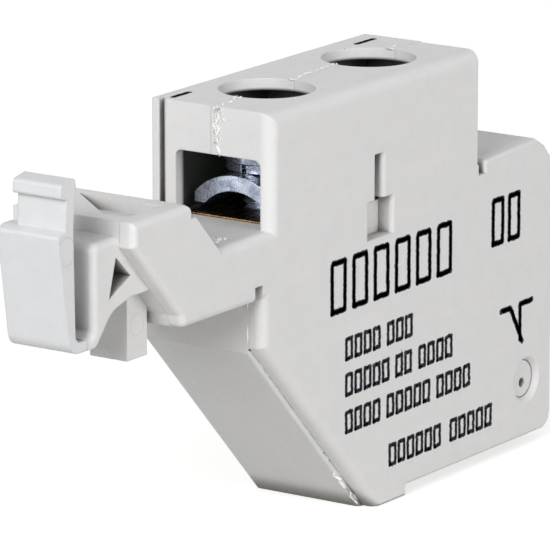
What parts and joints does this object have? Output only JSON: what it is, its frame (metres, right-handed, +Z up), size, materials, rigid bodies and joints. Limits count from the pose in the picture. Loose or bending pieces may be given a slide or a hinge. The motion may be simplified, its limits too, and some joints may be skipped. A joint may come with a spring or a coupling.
{
  "type": "auxiliary contact block",
  "caption": "Narrow grey auxiliary contact block with screw terminals, a sprung snap latch on a nose, and a break contact worked by a plunger under the housing.",
  "frame": {"origin": "centre of the heel's flat underside, the lowest face of the block", "axes": "+X along the block's length from the latch towards the far end, +Y through its thickness from the printed side to the plain side, +Z up towards the terminal screws"},
  "size_m": [0.0594, 0.01, 0.0309],
  "materials": {
    "grey_housing": "light grey moulded thermoplastic, fine mould texture",
    "green_plunger": "dark moulded thermoplastic",
    "zinc_steel": "bright zinc plating",
    "brass_strip": "rolled brass strip",
    "silver_contact": "silver alloy contact",
    "spring_steel": "drawn spring wire"
  },
  "bodies": {
    "housing": {"base_housing": "grey_housing", "cover": "grey_housing", "contact_strip_1": "brass_strip", "contact_strip_2": "brass_strip", "contact_tip_1": "silver_contact", "contact_tip_2": "silver_contact", "clamp_nut_1": "zinc_steel", "clamp_nut_2": "zinc_steel", "return_spring": "spring_steel"},
    "latch": {"latch_lever": "grey_housing"},
    "clamp_1": {"saddle_clamp_1": "zinc_steel", "spring_washer_1": "zinc_steel"},
    "clamp_2": {"saddle_clamp_2": "zinc_steel", "spring_washer_2": "zinc_steel"},
    "screw_1": {"terminal_screw_1": "zinc_steel"},
    "screw_2": {"terminal_screw_2": "zinc_steel"},
    "plunger": {"plunger": "green_plunger", "contact_bridge": "brass_strip", "bridge_tip_1": "silver_contact", "bridge_tip_2": "silver_contact", "contact_spring": "spring_steel"}
  },
  "joints": [
    {"name": "latch_flex", "type": "hinge", "parent": "housing", "child": "latch", "pos_m": [-0.03508, -0.0013, 0.01875], "axis": [0, 1, 0], "range_deg": [0, 10], "stiffness_Nm_per_rad": 0.3},
    {"name": "clamp_slide_1", "type": "slide", "parent": "housing", "child": "clamp_1", "axis": [0, 0, 1], "range_m": [-0.00042, 0.0009]},
    {"name": "screw_turn_1", "type": "hinge", "parent": "clamp_1", "child": "screw_1", "pos_m": [-0.00835, 0, 0.026], "axis": [0, 0, 1], "range_deg": [-252.1, 540.1]},
    {"name": "clamp_slide_2", "type": "slide", "parent": "housing", "child": "clamp_2", "axis": [0, 0, 1], "range_m": [-0.00042, 0.0009]},
    {"name": "screw_turn_2", "type": "hinge", "parent": "clamp_2", "child": "screw_2", "pos_m": [0.00445, 0, 0.026], "axis": [0, 0, 1], "range_deg": [-252.1, 540.1]},
    {"name": "plunger_press", "type": "slide", "parent": "housing", "child": "plunger", "axis": [0, 0, 1], "range_m": [0, 0.0024], "stiffness_N_per_m": 300, "springref_m": -0.002, "deforming": ["return_spring"]}
  ],
  "couplings": [
    {"joint": "screw_turn_1", "follows": "clamp_slide_1", "rad_per_m": 10472},
    {"joint": "screw_turn_2", "follows": "clamp_slide_2", "rad_per_m": 10472}
  ]
}
